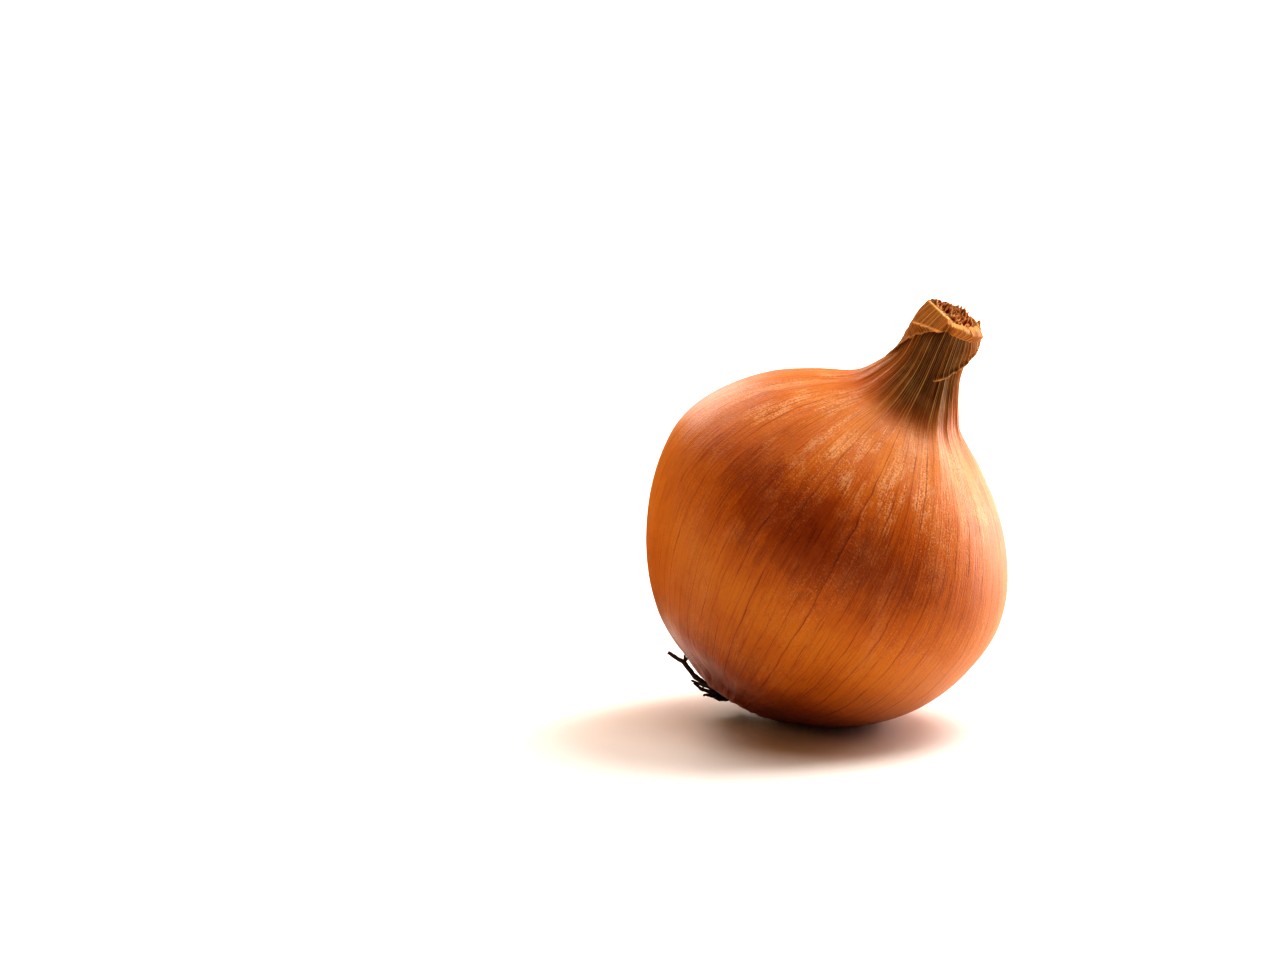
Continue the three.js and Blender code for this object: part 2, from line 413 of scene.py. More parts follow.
skinLook = {
    "tones": [  # from the deepest skin to the palest
        (0.0, (0.13, 0.018, 0.002, 1)), (0.25, (0.30, 0.050, 0.003, 1)), (0.5, (0.49, 0.112, 0.006, 1)),
        (0.75, (0.60, 0.172, 0.009, 1)), (1.0, (0.70, 0.245, 0.018, 1)),
    ],
    "along": [  # mm grown from the root end, and how pale the skin is there; the dark root end is partly painted shade where the onion meets the table
        (6, 0.12), (22, 0.20), (33, 0.46), (44, 0.70), (55, 0.54), (65, 0.42), (76, 0.52), (90, 0.64),
        (104, 0.44),
    ],
    "shadeBelt": (60.5, 19, 0.25, -88),  # painted shade: darker on the side facing the camera and on the side opposite, paler between: mm grown, reach, depth, degrees round
    "dustySheen": (34, 24, 0.5, -6),  # pale patch low on one side, partly dust and partly painted sheen reflecting the floor: mm grown, reach, share, degrees round
    "grain": {  # along the fibres: scale round and along, detail, roughness, share in the tone
        "broad": (1.6, 0.02, 2.0, 0.5, 0.22), "bands": (8.58, 0.016, 3.0, 0.55, 0.30),
        "streak": (58.5, 0.05, 4.0, 0.6, 0.42), "hairs": (163.8, 0.22, 2.0, 0.6, 0.42),
    },
    "leather": {  # the same in all directions: scale, detail, roughness, share in the tone
        "mottle": (240.0, 4.0, 0.6, 0.28), "leather": (2600.0, 2.0, 0.6, 0.30),
    },
    "lines": [  # strong veins, weaker ones between, hair lines: to each vein, half width in mm,
        # shift, breaks along it, strength
        (1.0, 0.12, 0.0, 0.12, 1.0), (1.0, 0.108, 0.5, 0.14, 0.7), (5.0, 0.07, 0.2, 0.2, 0.45),
    ],
    "vein": (0.15, 0.018, 0.003, 1),
    # the scuff colour is partly real pale scuffs and partly painted highlight and glints; the bloom colour
    # is partly painted sheen
    "scuffAndHighlight": (0.82, 0.46, 0.24, 1),
    "bloomAndSheen": (0.68, 0.29, 0.12, 1),
    "straw": (0.50, 0.17, 0.022, 1),  # towards the root end
    "neckDeep": (0.070, 0.026, 0.003, 1),
    "neckBrown": (0.30, 0.094, 0.008, 1),
    # the neck's pale crests are partly painted highlight on its ribs
    "neckCrestAndHighlight": (0.86, 0.47, 0.18, 1),
    "torn": (0.78, 0.38, 0.12, 1),
    "veinShare": 0.75,
    "scuffAndHighlightShare": 0.55,
    "bloomShare": 0.24,
    "strawShare": 0.36,
    "neckShare": 0.92,
    "neckFrom": (98, 112),  # mm grown
    "neckLower": 6.0,  # mm that the neck's colour starts lower on its side of painted shade
    "shadedSide": (-72, 0.17),  # painted shade: the neck is darker on this side, which faces the camera: degrees round, depth
    "roughness": (0.34, 0.50),
    "rougher": (0.14, 0.22),  # on the pale scuffs and painted highlights, and on the neck
    "bumps": {"streak": 0.075, "vein": 0.03, "hairs": 0.09, "leather": 0.08},  # mm
    "glow": (1.0, 0.66, 0.36, 1),  # the skin tints what it reflects, except at a glance
    "gloss": {"IOR": 1.42, "Specular IOR Level": 0.4, "Coat Weight": 0.06, "Coat Roughness": 0.3},
}


# The dry skin. Its patterns follow the fibres by the turn and the length grown of each point.
class SkinFinish(Finish):
    def __init__(self, name, look):
        super().__init__(name)
        self.look = look
        self.fibre = self.attribute("fibre", "Vector")
        x, y, self.grown = self.add("SeparateXYZ", {0: self.fibre}).outputs
        self.turn = self.maths("ARCTAN2", y, x)
        # the side facing the camera, where the neck's colour reaches lower and its valleys are darker:
        # painted shade
        self.front = self.ramp(self.facing(look["shadedSide"][0]), 0.55, 0.95)
        reached = self.plus(self.grown, self.times(self.front, look["neckLower"]))
        self.neck = self.ramp(reached, *look["neckFrom"])
        self.parts = {key: self.grain(*grain[:4]) for key, grain in look["grain"].items()}
        here = self.place()
        for key, grain in look["leather"].items():
            self.parts[key] = self.noise(here, *grain[:3])

    # 1 on the side that faces these degrees, -1 on the other
    def facing(self, degrees, times=1.0):
        return self.maths("COSINE", self.times(self.less(self.turn, math.radians(degrees)), times))

    def stretched(self, around, along):
        inputs = {0: self.fibre, 1: (around, around, along)}
        return self.add("VectorMath", inputs, operation="MULTIPLY").outputs[0]

    def grain(self, around, along, detail=2.0, roughness=0.5):
        return self.noise(self.stretched(around, along), 1.0, detail, roughness)

    # broken lines along the fibres
    def line(self, perVein, width, shift, breaks):
        count = self.plus(self.times(self.cycle, perVein), shift)
        away = self.apart(self.fraction(count), 0.5)
        away = self.times(away, self.times(self.spacing, 1 / perVein))
        broken = self.noise(self.stretched(11, breaks), shift + 1.0, 3.0)
        broken = self.plus(broken, self.times(self.pick(count), 0.25))
        return self.times(self.ramp(away, width, width * 0.2), self.ramp(broken, 0.42, 0.68, 0.14, 1.0))

    # 1 on a vein: the lines, and a faint net between them
    def veins(self):
        count = growth["veins"]
        wander = self.ramp(self.neck, 0.0, 1.0, 0.3, 0.1)
        self.cycle = self.vary(self.times(self.turn, count / math.tau), self.grain(20, 0.12), wander)
        self.spacing = self.times(self.attribute("girth"), math.tau / count)
        inputs = {"Vector": self.stretched(8.58, 0.10), "Scale": 1.0, "Randomness": 1.0}
        net = self.add("TexVoronoi", inputs, feature="DISTANCE_TO_EDGE").outputs["Distance"]
        vein = self.times(self.ramp(net, 0.024, 0.004), self.ramp(self.grain(12, 0.3), 0.5, 0.62, 0.0, 0.3))
        for perVein, width, shift, breaks, strength in self.look["lines"]:
            vein = self.most(vein, self.times(self.line(perVein, width, shift, breaks), strength))
        return vein

    # how pale the skin is: along the onion, with painted shade at the root end, in the belt of painted
    # shade, in broad patches and in streaks
    def tone(self):
        length = self.look["along"][-1][0]
        marks = [(x / length, (y, y, y, 1)) for x, y in self.look["along"]]
        tone = self.stops(self.times(self.grown, 1 / length), marks)
        # painted shade: a darker belt facing the camera and the back
        middle, reach, depth, side = self.look["shadeBelt"]
        shadeBelt = self.ramp(self.apart(self.grown, middle), reach, 0.0, 0.0, -depth)
        tone = self.plus(tone, self.times(shadeBelt, self.facing(side, 2.0)))
        for key, values in [*self.look["grain"].items(), *self.look["leather"].items()]:
            tone = self.vary(tone, self.parts[key], values[-1])
        return tone

    # pale bloom: soft patches, and a pale side low down that is partly dust and partly painted sheen
    def bloomAndSheen(self):
        leather = self.parts["leather"]
        soft = self.ramp(self.grain(4.6, 0.06, 3.0, 0.6), 0.5, 0.72)
        soft = self.times(soft, self.ramp(leather, 0.3, 0.7, 0.4, 1.0))
        middle, reach, share, side = self.look["dustySheen"]
        dustySheen = self.ramp(self.facing(side), 0.6, 1.0, 0.0, share)
        dustySheen = self.times(dustySheen, self.ramp(self.apart(self.grown, middle), reach, 0.0))
        dustySheen = self.times(dustySheen, self.ramp(leather, 0.3, 0.65, 0.5, 1.0))
        return self.most(self.times(soft, self.look["bloomShare"]), dustySheen)

    # pale scuffs, partly real and partly painted highlight, and specks of painted glint, mostly in a ring
    # on the shoulder
    def scuffsAndGlints(self):
        ring = self.times(self.ramp(self.grown, 62, 84), self.ramp(self.grown, 103, 93))
        patch = self.plus(self.grain(8.0, 0.09, 3.0, 0.65), self.times(ring, 0.10))
        fine = self.plus(self.times(self.parts["hairs"], 0.45), self.times(self.parts["leather"], 0.65))
        scuffAndHighlight = self.times(self.ramp(patch, 0.56, 0.68), self.ramp(fine, 0.49, 0.62))
        scuffAndHighlight = self.times(scuffAndHighlight, self.ramp(ring, 0.0, 1.0, 0.15, 1.0))
        where = self.ramp(self.grain(3.0, 0.06), 0.42, 0.60, 0.1, 1.0)
        where = self.times(where, self.ramp(ring, 0.0, 1.0, 0.18, 0.6))
        # painted glints: fine pale specks where the highlights fall
        paintedGlints = self.times(self.ramp(self.grain(140.4, 2.4, 2.0, 0.6), 0.55, 0.66), where)
        return scuffAndHighlight, paintedGlints

    # the neck: pale crests, partly painted highlight on the ribs, with brown valleys between that are
    # darker by painted shade on the side facing the camera
    def neckColour(self):
        look, streak = self.look, self.parts["streak"]
        crest = self.vary(self.apart(self.fraction(self.cycle), 0.5), streak, 0.15)
        own = self.ramp(self.pick(self.cycle), 0.2, 0.8, 0.15, 1.0)
        crest = self.times(self.ramp(crest, 0.11, 0.02), own)
        # painted highlight: fewer pale crests on the side in painted shade
        crest = self.times(crest, self.ramp(self.front, 0.0, 1.0, 1.0, 0.6))
        third = self.apart(self.fraction(self.times(self.cycle, 3.1)), 0.5)
        thin = self.times(self.ramp(third, 0.17, 0.02), self.ramp(streak, 0.40, 0.58, 0.05, 0.6))
        shade = self.plus(self.times(self.parts["bands"], 0.5), self.times(streak, 0.5))
        # painted shade: darker valleys on the side facing the camera
        shade = self.less(shade, self.times(self.less(self.front, 0.4), look["shadedSide"][1]))
        colour = self.mix(self.ramp(shade, 0.38, 0.60), look["neckDeep"], look["neckBrown"])
        for share in (thin, crest, self.ramp(self.parts["mottle"], 0.4, 0.7, 0.0, 0.12)):
            colour = self.mix(share, colour, look["neckCrestAndHighlight"])
        return colour

    def roughnessWith(self, scuffAndHighlight):
        rough = self.plus(self.times(self.parts["streak"], 0.5), self.times(self.parts["leather"], 0.5))
        rough = self.ramp(rough, 0.38, 0.62, *self.look["roughness"])
        onPaleMarks, onNeck = self.look["rougher"]
        rough = self.plus(rough, self.times(scuffAndHighlight, onPaleMarks))
        return self.maths("ADD", rough, self.times(self.neck, onNeck), clamp=True)


def makeSkinMaterial(name, look):
    m = SkinFinish(name, look)
    m.parts["vein"] = m.veins()
    scuffAndHighlight, paintedGlints = m.scuffsAndGlints()
    low = m.times(m.ramp(m.grown, 62, 40), m.ramp(m.grown, 12, 34))
    torn = m.times(m.attribute("torn"), m.ramp(m.parts["leather"], 0.3, 0.6, 0.7, 1.0))
    colour = m.stops(m.tone(), look["tones"])
    for share, over in (
        (m.times(low, look["strawShare"]), look["straw"]),
        (m.bloomAndSheen(), look["bloomAndSheen"]),
        # pale scuffs with painted highlight, and specks of painted glint
        (m.times(scuffAndHighlight, look["scuffAndHighlightShare"]), look["scuffAndHighlight"]),
        (paintedGlints, look["scuffAndHighlight"]),
        (m.times(m.parts["vein"], look["veinShare"]), look["vein"]),
        (m.times(m.neck, look["neckShare"]), m.neckColour()),
        (torn, look["torn"]),
    ):
        colour = m.mix(share, colour, over)
    normal = m.bumps([(m.parts[key], depth) for key, depth in look["bumps"].items()])
    m.dress({"Base Color": colour, "Roughness": m.roughnessWith(scuffAndHighlight), "Normal": normal,
             "Specular Tint": look["glow"], **look["gloss"]})
    print(name, "material with", len(m.tree.nodes), "nodes")
    return m.material


skinMaterial = makeSkinMaterial("drySkin", skinLook)

skin = {
    "columns": 480,
    "globeSteps": 104,
    "neckSteps": 46,
    "neckFoot": 74,  # height where the closer steps begin
    "rootDip": [(0, 2.4), (4, 2.4)],  # under the root plate: radius and height
    "cup": [(5.15, 94.0), (4.95, 92.5), (4.95, 91.0), (4.85, 89.3), (2.5, 89.0), (0, 89.0)],  # in the cut
    "behindFold": (0.35, 1.3),  # mm that the outside and the cup keep behind the fold
    "raggedFrom": 91,
}


def makeSkin():
    bm = bmesh.new()
    layers = skinLayers(bm)
    neckFoot = next(s[2] for s in outline[shoulderStep:] if s[1] > skin["neckFoot"])
    lengths = [neckFoot * (k / skin["globeSteps"]) for k in range(skin["globeSteps"])]
    lengths += [lerp(neckFoot, outline[-1][2], k / skin["neckSteps"]) for k in range(skin["neckSteps"] + 1)]
    steps = [next((s for s in outline if s[2] >= length), outline[-1]) for length in lengths]
    profile = skin["rootDip"] + [(s[0], s[1]) for s in steps] + skin["cup"]
    rowLayer = spinProfile(bm, profile, skin["columns"])
    outside, inside = skin["behindFold"]
    for v in bm.verts:
        row = round(v[rowLayer]) - len(skin["rootDip"])
        turn = math.atan2(v.co.y, v.co.x)
        angle = fibreToAngle(turn)
        radius, height = math.hypot(v.co.x, v.co.y), v.co.z
        if row < 0:
            step = outline[0]
            place = settle(angle, radius, height)
        elif row < len(steps):
            step = steps[row]
            out = relief(turn, step)
            radius += swelling(angle, height) + out * step[3]
            place = pressToFold(settle(angle, radius, height + out * step[4]), outside)
        else:
            step = outline[-1]
            place = pressToFold(settle(angle, radius, height), inside)
        if place.z > skin["raggedFrom"]:
            rim = Vector((math.cos(angle), math.sin(angle), 0))
            ragged = 0.35 * noise.noise(rim * 7) + 0.3 * noise.noise(rim * 21) - 0.3
            place.z = min(place.z, cutAt(place) + ragged - (0.0 if row < len(steps) else 0.05))
        v.co = place
        markSkin(v, layers, turn, step[2], max(step[0], 1))
    return finishPiece("onionSkin", bm, ["bulb"], skinMaterial)


onionSkin = makeSkin()

# The dried outer sheath wraps round the front of the neck, and its torn edge winds up and back.
sheath = {
    "from": -74, "to": 44,  # degrees round
    "faces": (150, 60),
    "thickness": 0.28,
    "foot": 80.2, "climbFrom": -66, "climb": 8.3,  # its lower edge, and degrees round for each mm up
    "under": 0.9,  # mm that it reaches up under the collar
    "tears": ((0.35, 5, 7), (0.15, 1.3, 3)),
    "lift": 0.5,
    "curl": 0.45,  # mm that the torn edge turns out
    "emerging": (-74, -58), "flaring": (-60, 0), "ending": (12, 42),  # degrees round
}
collar = {
    "from": -176, "to": 52,
    "faces": (420, 70),
    "thickness": 0.3,
    "foot": 89.9, "drop": 7.3, "dropFrom": -78, "dropOver": 72,  # its lower edge falls towards the back
    "over": 1.0,  # mm that it reaches past the cut before it is trimmed
    "frayed": ((1.0, 7, 11), (0.5, 1.6, 2)),
    "tears": ((0.3, 4, 5), (0.3, 1.1, 9)),
    "slant": 0.22,  # how far the ribs slant below the crease
    "crease": 0.16,  # mm that the rolled crease stands out
    "lip": 1.45,  # mm that the rolled lip stands out
    "ending": (12, 50),  # degrees round
}


def collarEdge(degrees):
    fallen = max(0.0, collar["dropFrom"] - degrees) / collar["dropOver"]
    return collar["foot"] - collar["drop"] * fallen**1.5


def sheathEdge(degrees):
    return sheath["foot"] + max(0.0, degrees - sheath["climbFrom"]) / sheath["climb"]


def makeSheath():
    bm = bmesh.new()

    def rule(u, v):
        degrees = lerp(sheath["from"], sheath["to"], u)
        turn = math.radians(degrees)
        bottom = sheathEdge(degrees) + tornBy(sheath["tears"], degrees) * ease(degrees, -74, -60)
        height = lerp(bottom, collarEdge(degrees) + sheath["under"], v)
        emerging = ease(degrees, *sheath["emerging"])
        flare = ease(degrees, *sheath["flaring"]) * (1 - 0.8 * ease(v, 0.2, 1))
        ending = ease(degrees, *sheath["ending"]) * v
        lift = sheath["lift"] * (0.4 + 0.8 * emerging) - 0.35 * ease(v, 0.5, 1) + 0.7 * flare - 0.9 * ending
        lift += sheath["curl"] * ease(v, 0.12, 0.0) * emerging
        step = stepAt(height)
        lift += relief(turn, step)
        edge = max(ease(v, 0.05, 0.0), ease(u, 0.975, 1.0)) * emerging
        return settle(turn, step[0] + lift, height), turn, step[2], step[0], edge

    laySheet(bm, sheath["faces"], rule)
    piece = finishPiece("neckSheath", bm, ["bulb"], skinMaterial)
    thicken(piece, sheath["thickness"])
    return piece


neckSheath = makeSheath()

collarLook = dict(skinLook)
collarLook.update({
    "neckDeep": (0.24, 0.074, 0.006, 1),
    "neckBrown": (0.46, 0.150, 0.012, 1),
    "shadedSide": (-72, 0.0),
})
collarMaterial = makeSkinMaterial("collarSkin", collarLook)


# The collar folds over the sheath, up to the knife cut. On its left it is pressed flat above the
# crease, and on its right it rolls out into a lip.
def makeCollar():
    bm = bmesh.new()

    def rule(u, v):
        degrees = lerp(collar["from"], collar["to"], u)
        turn = math.radians(degrees)
        frayed = lerp(0.5, 0.25, ease(degrees, -115, -95))
        bottom = collarEdge(degrees) + frayed * tornBy(collar["frayed"], degrees)
        height = lerp(bottom, growth["cutHeight"] + collar["over"], v)
        step = stepAt(height)
        overCrease = height - creaseAt(degrees)
        left = 0.12 + 0.9 * ease(degrees, -172, -125) * (0.5 + 0.5 * ease(v, 0.0, 0.5))
        left += 0.35 * ease(v, 0.14, 0.0) * ease(degrees, -170, -150)
        left += collar["crease"] * swell(overCrease, -0.45, 0.55)
        lip = 0.25 + collar["lip"] * swell(v, 0.4, 0.27)  # tucked in at its foot
        lip += 0.25 * noise.noise(Vector((degrees / 9, v * 1.5, 4)))
        lip = lerp(-0.2, lip, 1 - 0.92 * ease(degrees, *collar["ending"]))
        lift = lerp(left, lip, ease(degrees, -90, -74))
        folded = ease(overCrease, -0.2, 0.3) * (1 - ease(degrees, -95, -80))
        below = min(overCrease, 0) * (1 - ease(degrees, -95, -70))
        twisted = turn + collar["slant"] * below
        ribbed = 0.7 * relief(twisted, step)
        place = settle(turn, step[0] + lift + ribbed, height)
        place = pressToFold(place, -0.4 * (ribbed + 0.1), 0.96 * folded)
        ragged = 0.5 + 0.9 * ease(degrees, -96, -80) * ease(degrees, 34, -10)
        top = cutAt(place) + tornBy(collar["tears"], degrees) * ragged
        edge = max(ease(v, 0.06, 0.0) * 0.7, ease(place.z, top - 0.25, top))
        place.z = min(place.z, top)
        return place, twisted, step[2], step[0], edge

    laySheet(bm, collar["faces"], rule)
    piece = finishPiece("neckCollar", bm, ["bulb"], collarMaterial)
    thicken(piece, collar["thickness"])
    return piece


neckCollar = makeCollar()

leafLook = dict(skinLook)
leafLook.update({
    "neckDeep": (0.15, 0.014, 0.001, 1),
    "neckBrown": (0.50, 0.088, 0.008, 1),
    # the pale top edges of the leaves are partly painted highlight
    "torn": (0.90, 0.46, 0.17, 1),
    "shadedSide": (0, 0.0),
})
leafMaterial = makeSkinMaterial("driedLeaf", leafLook)

# The dried leaves are one thin sheet, rolled up in the cup.
leaves = {
    "turns": 4.2,
    "start": -1.2,  # radians round
    "outerRadius": 4.6, "innerRadius": 0.25,
    "pitch": 1.0,  # mm from one turn to the next
    "waves": ((0.2, 5, 3), (0.15, 11.3, 0), (0.08, 27, 0)),  # mm, how close, and their drift to the end
    "shift": (0.5, -0.6),  # mm the roll's middle strays
    "thickness": 0.1,
    "faces": (900, 18),
    "foot": 89.2,
    "tears": ((1.1, 4.6, 1.5), (1.0, 1.0, 4)),
    "tearsLong": 230,  # length of the whole edge, in the tears' own measure
    "fibre": (112, 4, 6.5),  # mm grown at the foot, mm more at the top, and the girth
}


def makeLeaves():
    bm = bmesh.new()

    def rule(u, v):
        rolled = u * leaves["turns"]
        turn = rolled * math.tau + leaves["start"]
        wave = sum(out * math.sin(close * turn + drift * u) for out, close, drift in leaves["waves"])
        radius = leaves["outerRadius"] - leaves["pitch"] * rolled + wave * (0.3 + 0.7 * v)
        radius = max(radius, leaves["innerRadius"])
        x = radius * math.cos(turn) + growth["neckDrift"][1] + leaves["shift"][0] * u
        y = radius * math.sin(turn) + leaves["shift"][1] * u
        place = Vector((x, y, leaves["foot"]))
        ragged = tornBy(leaves["tears"], u * leaves["tearsLong"])
        top = cutAt(place) - 0.1 + ragged + 0.5 * ease(y, 0.5, 3.5)
        place.z = lerp(leaves["foot"], top, v)
        place = pressToFold(place, 1.45 + 0.1 * rolled, 0.9)
        grown, more, girth = leaves["fibre"]
        # the top of each leaf is paler: a torn edge, partly painted highlight against the dark gaps
        return place, turn * 0.5, grown + more * v, girth, ease(v, 0.8, 1.0)

    laySheet(bm, leaves["faces"], rule)
    piece = finishPiece("neckLeaves", bm, ["neck_leaves"], leafMaterial)
    thicken(piece, leaves["thickness"], 0.0)
    return piece


neckLeaves = makeLeaves()

rootLook = {
    "dark": (0.010, 0.006, 0.005, 1),
    "brown": (0.05, 0.021, 0.010, 1),
    "dust": (0.17, 0.10, 0.06, 1),
    "roughness": (0.6, 0.85),
    "bumps": (0.25, 0.06),  # mm, of the lumps and of the fibres
}


def makeRootMaterial():
    m = Finish("driedRoot")
    here = m.place()
    lumps = m.noise(here, 900.0, 4.0, 0.6)
    fibres = m.noise(here, 3200.0, 3.0, 0.6)
    colour = m.mix(m.ramp(lumps, 0.35, 0.65), rootLook["dark"], rootLook["brown"])
    colour = m.mix(m.ramp(fibres, 0.55, 0.8, 0.0, 0.6), colour, rootLook["dust"])
    m.dress({"Base Color": colour, "Roughness": m.ramp(fibres, 0.3, 0.7, *rootLook["roughness"]),
             "Normal": m.bumps(zip((lumps, fibres), rootLook["bumps"]))})
    return m.material


rootMaterial = makeRootMaterial()

# The root plate is a shallow crusty disc in the skin's dip.
plate = {
    "columns": 90,
    "profile": [  # radius and height
        (0, 0.5), (1.2, 0.5), (2.4, 0.45), (3.5, 0.4), (4.48, 0.4), (5.2, 0.55), (5.89, 0.8), (6.3, 1.2),
        (6.35, 1.6), (6.3, 2.0), (3.0, 2.0), (0, 2.0),
    ],
    "crustBelow": 1.9,  # height
    "crust": ((0.3, 1.1), (0.14, 3.0)),  # mm, and how close together
}


def makePlate():
    bm = bmesh.new()
    spinProfile(bm, plate["profile"], plate["columns"])
    for v in bm.verts:
        if v.co.z < plate["crustBelow"]:
            lumps = sum(noise.noise(v.co * tight) * depth for depth, tight in plate["crust"])
            v.co.z += lumps
            v.co.x *= 1 + 0.03 * lumps
    return finishPiece("rootPlate", bm, ["roots"], rootMaterial)


rootPlate = makePlate()

longRoots = [  # radius, then the points of the path
    (0.74, (-2, 0.5, 1), (-3.2, 0.9, -0.5), (-5.4, 1.2, -1.1), (-7.8, 1.5, -1.8), (-10, 1.8, -1.8),
     (-12.2, 2.2, -1.2), (-14.6, 2.5, -0.5), (-16.2, 2.7, -0.6), (-18.2, 3, -0.5)),
    (0.42, (-14.2, 2.5, -0.6), (-14.2, 2.5, 0.1), (-14.9, 2.6, 0.7)),
    (0.34, (-14.2, 2.5, 0.1), (-13.9, 2.4, 0.7), (-13.5, 2.4, 1.1)),
    (0.52, (-3.5, 1, 0.6), (-5.8, 1.3, -0.8), (-7.1, 1.4, -0.4), (-8.9, 1.7, 0.2)),
    (0.44, (-3, 0.9, 0.4), (-5.3, 1.2, -1.3), (-7.4, 1.5, -2.2), (-9.4, 1.8, -2.7), (-10.9, 2, -2.8)),
    (0.42, (-0.8, 0.6, 0.8), (-2.1, 0.7, -1.8), (-3.2, 0.9, -2.4), (-4.2, 1, -2.2), (-4.8, 1.1, -2.2),
     (-6.1, 1.3, -2.8), (-8.1, 1.6, -2.8)),
    (0.4, (-3.2, 0.9, -2.4), (-3.3, 0.9, -1.6), (-2.4, 0.7, -0.9), (-1.5, 0.6, -1.7), (-0.8, 0.5, -1.5),
     (-0.7, 0.5, -0.3)),
]
tuft = {
    "shortRoots": 16,
    "sides": 8,
    "stepsPerPoint": 5,
    "taper": 0.5,  # share of the radius that is lost by the tip
    "stray": 0.3,  # mm off the path at the tip
    "knobs": 0.22,
    "seed": 300,  # of the stray, which Blender would otherwise draw from the clock
}


# A repeatable draw from 0 to 1 for root i and purpose k.
def draw(i, k):
    x = math.sin(i * 12.9898 + k * 78.233) * 43758.5453
    return x - math.floor(x)


# A short root starts on the plate, droops below it and curls as it goes out.
def shortRoot(i):
    turn = math.radians(95 + 170 * draw(i, 1))
    start = 1 + 3.2 * draw(i, 2)
    reach = 3 + 5.5 * draw(i, 3) * draw(i, 4)
    curl = 1.1 * (draw(i, 5) - 0.5)
    droop = 1 + 1.7 * draw(i, 6)
    points = []
    for k in range(6):
        t = k / 5
        distance = start + reach * t**1.25
        angle = turn + curl * t
        height = 0.5 + 0.55 * max(0, distance - 9) - droop * math.sin(min(1, 1.6 * t) * math.pi * 0.5)
        points.append((distance * math.cos(angle), distance * math.sin(angle), 1.2 if k == 0 else height))
    return (0.4 + 0.14 * draw(i, 7), *points)


# A root is a ring of a few sides drawn out along its path, knobbly and thinner towards its tip.
def growRoot(bm, seed, radius, points):
    count = (len(points) - 1) * tuft["stepsPerPoint"]
    path = [Vector(alongSpline(points, min(k / count, 0.9999))) for k in range(count + 1)]
    for k, p in enumerate(path):
        t = k / count
        p += tuft["stray"] * t * noise.noise_vector(Vector((seed * 1.7, t * len(points) * 1.3, 0)))

    def ringAt(k):
        ahead = (path[min(k + 1, count)] - path[max(k - 1, 0)]).normalized()
        knob = 1 + tuft["knobs"] * noise.noise(Vector((seed * 3.1, k * 0.55, 2)))
        thick = radius * (1 - tuft["taper"] * (k / count) ** 1.4) * knob
        turned = ahead.to_track_quat("Z", "X").to_matrix().to_4x4()
        return Matrix.Translation(path[k]) @ turned @ Matrix.Scale(thick, 4)

    ring = bmesh.ops.create_circle(bm, cap_ends=True, segments=tuft["sides"], radius=1.0)["verts"]
    edges = list(dict.fromkeys(e for v in ring for e in v.link_edges))  # each once, in the same order
    here = ringAt(0)
    bmesh.ops.transform(bm, matrix=here, verts=ring)
    for k in range(1, count + 1):
        made = bmesh.ops.extrude_edge_only(bm, edges=edges)["geom"]
        ring = [g for g in made if isinstance(g, bmesh.types.BMVert)]
        edges = [g for g in made if isinstance(g, bmesh.types.BMEdge)]
        before, here = here, ringAt(k)
        bmesh.ops.transform(bm, matrix=here @ before.inverted(), verts=ring)
    bmesh.ops.edgeloop_fill(bm, edges=edges)


def makeRoots():
    bm = bmesh.new()
    noise.seed_set(tuft["seed"])
    roots = longRoots + [shortRoot(i) for i in range(tuft["shortRoots"])]
    for seed, (radius, *points) in enumerate(roots):
        growRoot(bm, seed, radius, points)
    bmesh.ops.recalc_face_normals(bm, faces=bm.faces[:])
    return finishPiece("rootTuft", bm, ["roots"], rootMaterial)


rootTuft = makeRoots()

studio = {
    "floor": (0.93, 0.885, 0.85, 1),
    "floorRoughness": 0.42,
    "floorSize": 30,  # metres from its middle to its sides
    "farGlow": (0.25, 0.9, 0.0, 1.1),  # metres where the floor begins to glow and glows fully, and how much
    "horizon": 1.0,
    "dome": 0.03,
    "skyline": (0.02, 0.14),  # how high up the horizon's light ends and the dome's begins
    "cameraTurn": 15,  # degrees the camera stands round to the right of the front
    "distance": 0.85,  # metres of the lamps from the onion
    "lampFoot": 0.05, "lampAim": 0.045,  # metres above the floor
    "lamps": {  # degrees round from the camera to its right, degrees up, width, power and colour
        "top": (0, 88, 0.45, 2.0, (1.0, 0.99, 0.97)),
        "backRight": (120, 58, 0.45, 6.8, (1.0, 0.99, 0.97)),
        "right": (123, 33, 0.45, 2.3, (1.0, 0.99, 0.98)),
        "rightLow": (125, 11, 0.40, 4.0, (1.0, 0.98, 0.97)),
        "backLeft": (240, 58, 0.45, 1.3, (1.0, 0.99, 0.97)),
        "back": (200, 25, 0.35, 2.0, (1.0, 0.99, 0.97)),
        "left": (258, 26, 0.40, 0.7, (1.0, 0.74, 0.35)),
        "leftWarm": (280, 13, 0.30, 0.3, (1.0, 0.55, 0.10)),
    },
}
# A warm card stands behind the onion to its left, out of the camera's sight, and tints that edge.
warmCard = {
    "from": 197, "to": 270,  # degrees round, as for the lamps
    "distance": 0.074, "height": 0.08,
    "foot": 0.001,
    "rounding": 2.2,  # how fast its top falls towards its ends
    "colour": (0.48, 0.22, 0.03, 1),
    "roughness": 0.8,
}
view = {
    "lens": 100, "sensor": 36,
    "from": (0.149095, -0.704983, 0.164364), "at": (-0.037633, -0.008107, 0.050096),
}


# The way out from the onion, degrees round from the camera and degrees up.
def wayOut(turn, rise=0.0):
    turn, rise = math.radians(turn + studio["cameraTurn"]), math.radians(rise)
    return Vector((math.sin(turn) * math.cos(rise), -math.cos(turn) * math.cos(rise), math.sin(rise)))


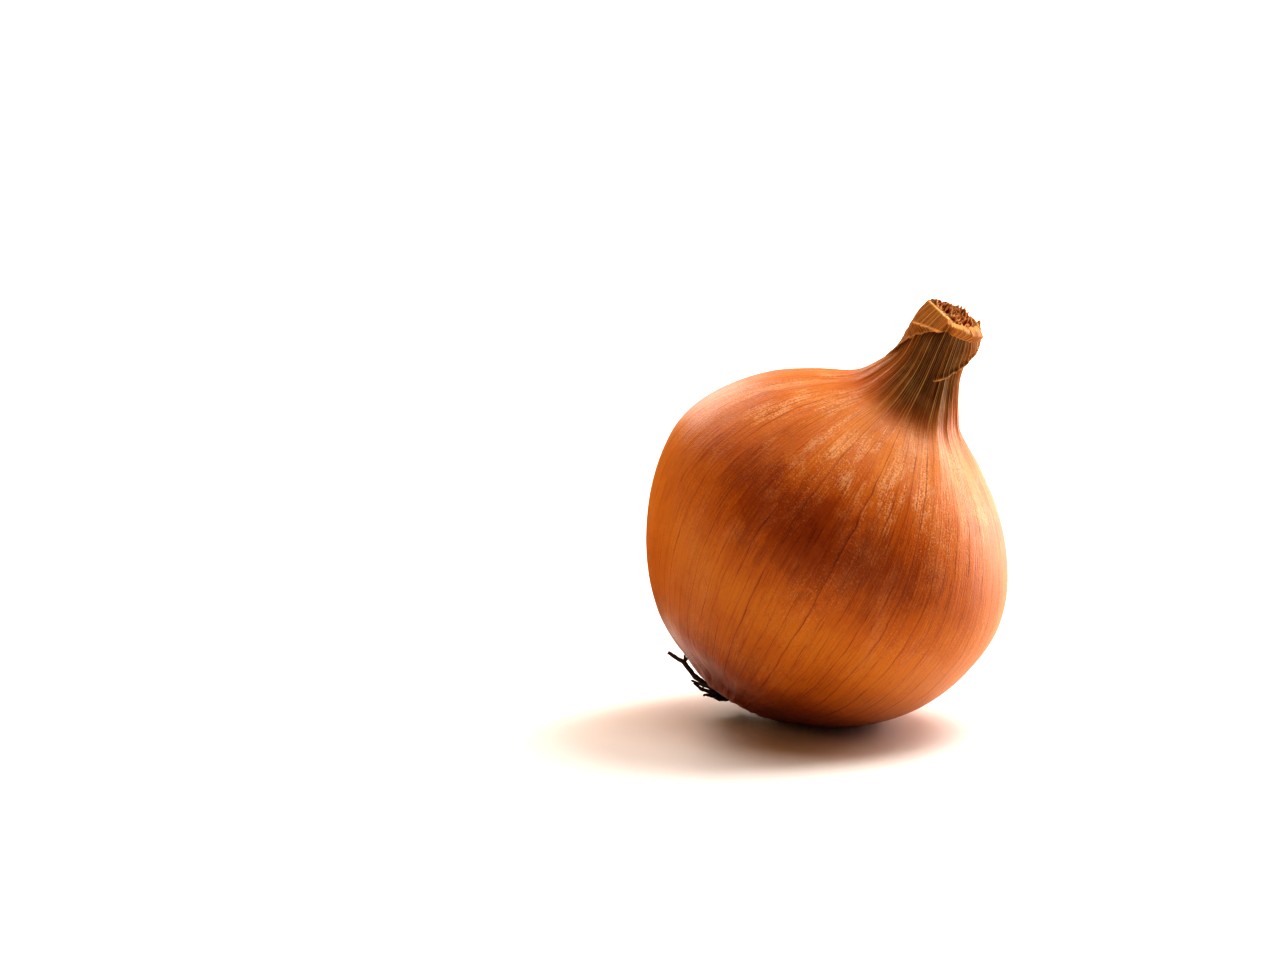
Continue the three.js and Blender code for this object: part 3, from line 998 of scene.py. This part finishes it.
def lookAt(thing, place):
    thing.rotation_euler = (Vector(place) - thing.location).to_track_quat("-Z", "Y").to_euler()


def addLamp(name, turn, rise, width, power, colour):
    lamp = bpy.data.lights.new(name, "AREA")
    lamp.shape = "RECTANGLE"
    lamp.size = lamp.size_y = width
    lamp.energy = power
    lamp.color = colour
    stand = bpy.data.objects.new(name, lamp)
    stand.location = Vector((0, 0, studio["lampFoot"])) + wayOut(turn, rise) * studio["distance"]
    lookAt(stand, (0, 0, studio["lampAim"]))
    stand.visible_camera = False
    bpy.context.scene.collection.objects.link(stand)


# The floor is white near the onion by the lamps, and far off by a glow of its own.
def makeFloorMaterial():
    m = Finish("paleFloor")
    distance = m.add("VectorMath", {0: m.place()}, operation="LENGTH").outputs["Value"]
    m.dress({"Emission Strength": m.ramp(distance, *studio["farGlow"]), "Emission Color": (1, 1, 1, 1),
             "Base Color": studio["floor"], "Roughness": studio["floorRoughness"]})
    return m.material


def layFloor():
    bm = bmesh.new()
    bmesh.ops.create_grid(bm, x_segments=1, y_segments=1, size=studio["floorSize"])
    makeObject("floor", bm, makeFloorMaterial())


def standCard():
    bm = bmesh.new()
    for v in bmesh.ops.create_grid(bm, x_segments=24, y_segments=6, size=0.5)["verts"]:
        place = wayOut(lerp(warmCard["from"], warmCard["to"], v.co.x + 0.5)) * warmCard["distance"]
        rise = warmCard["height"] * (v.co.y + 0.5) * math.cos(warmCard["rounding"] * v.co.x)
        v.co = (place.x, place.y, rise + warmCard["foot"])
    m = Finish("warmPaper")
    m.dress({"Base Color": warmCard["colour"], "Roughness": warmCard["roughness"]})
    card = makeObject("warmCard", bm, m.material)
    card.visible_camera = False
    card.visible_shadow = False


# A dim dome with a bright band along the horizon.
def makeSurround():
    world = bpy.data.worlds.new("surround")
    bpy.context.scene.world = world
    world.use_nodes = True
    sky = world.node_tree
    direction = sky.nodes.new("ShaderNodeTexCoord")
    split = sky.nodes.new("ShaderNodeSeparateXYZ")
    height = sky.nodes.new("ShaderNodeMapRange")
    limits = (*studio["skyline"], studio["horizon"], studio["dome"])
    for key, value in zip(("From Min", "From Max", "To Min", "To Max"), limits):
        height.inputs[key].default_value = value
    sky.links.new(direction.outputs["Generated"], split.inputs[0])
    sky.links.new(split.outputs["Z"], height.inputs["Value"])
    sky.links.new(height.outputs["Result"], sky.nodes["Background"].inputs["Strength"])
    sky.nodes["Background"].inputs["Color"].default_value = (1, 1, 1, 1)


def standCamera():
    camera = bpy.data.objects.new("camera", bpy.data.cameras.new("camera"))
    camera.data.lens = view["lens"]
    camera.data.sensor_width = view["sensor"]
    camera.location = view["from"]
    lookAt(camera, view["at"])
    bpy.context.scene.collection.objects.link(camera)
    bpy.context.scene.camera = camera


layFloor()
standCard()
for name, lamp in studio["lamps"].items():
    addLamp(name + "Lamp", *lamp)
makeSurround()
bpy.context.scene.view_settings.view_transform = "Standard"
bpy.context.scene.view_settings.look = "High Contrast"
print("studio lit by", len(studio["lamps"]), "lamps")
standCamera()

bpy.context.view_layer.update()
print("scene ready")
